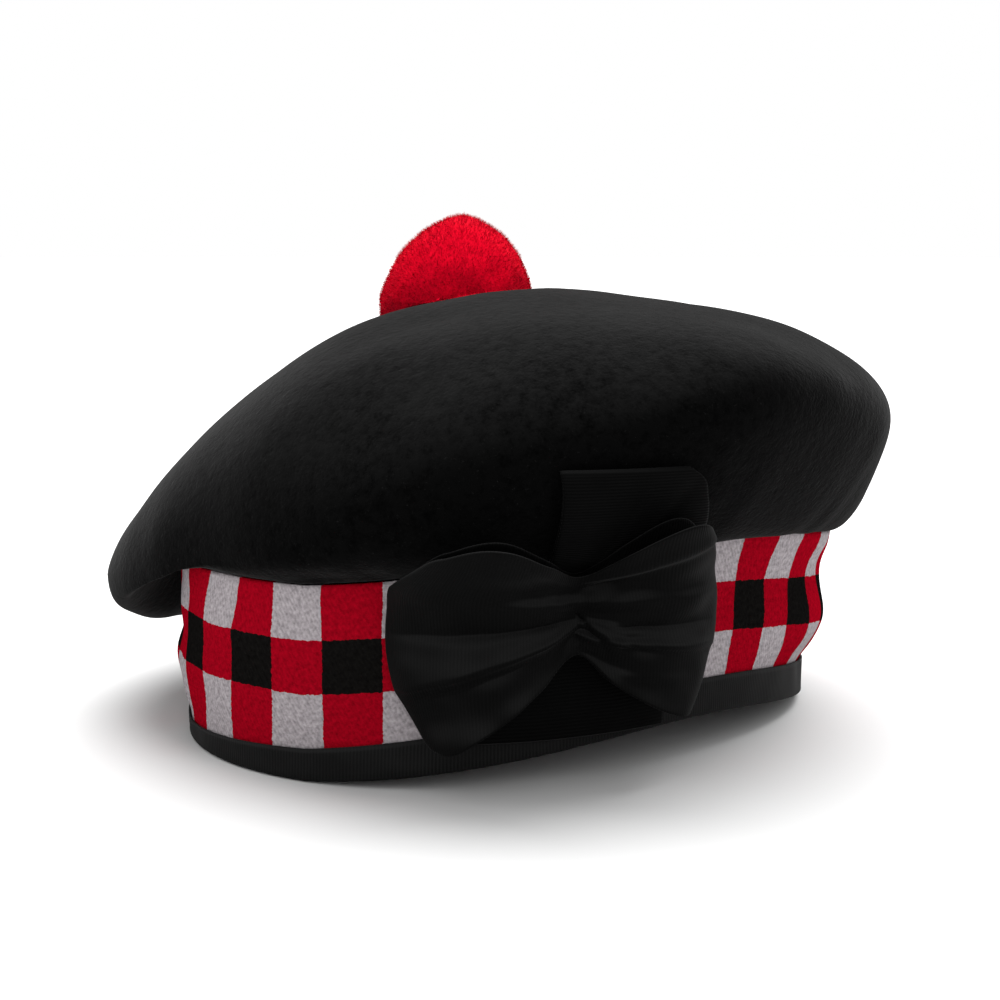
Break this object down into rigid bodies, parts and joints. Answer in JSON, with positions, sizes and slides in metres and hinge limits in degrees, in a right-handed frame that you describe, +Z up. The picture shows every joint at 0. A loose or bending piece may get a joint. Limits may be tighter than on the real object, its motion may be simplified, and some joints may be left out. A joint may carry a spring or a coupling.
{
  "type": "balmoral bonnet with a diced band, ribbon cockade and toorie",
  "caption": "Black felted wool balmoral bonnet with a red, white and black diced band, ribbon binding, ribbon cockade on the wearer's left and a red wool toorie.",
  "frame": {"origin": "middle of the foot of the bonnet's box, on the surface that it rests on", "axes": "+Z up, -Y to the front of the bonnet, +X to the wearer's left, where the cockade is"},
  "size_m": [0.2374, 0.2252, 0.1463],
  "materials": {
    "felted_wool": "matte felted wool",
    "diced_wool": "matte knitted wool, diced red, white and black",
    "ribbon": "ribbed ribbon with a low sheen",
    "toorie_wool": "matte clipped wool pile"
  },
  "bodies": {
    "root": {"crown": "felted_wool", "diced_band": "diced_wool", "edge_binding": "ribbon", "cockade_upright": "ribbon", "cockade_bow": "ribbon", "toorie": "toorie_wool"}
  },
  "joints": []
}
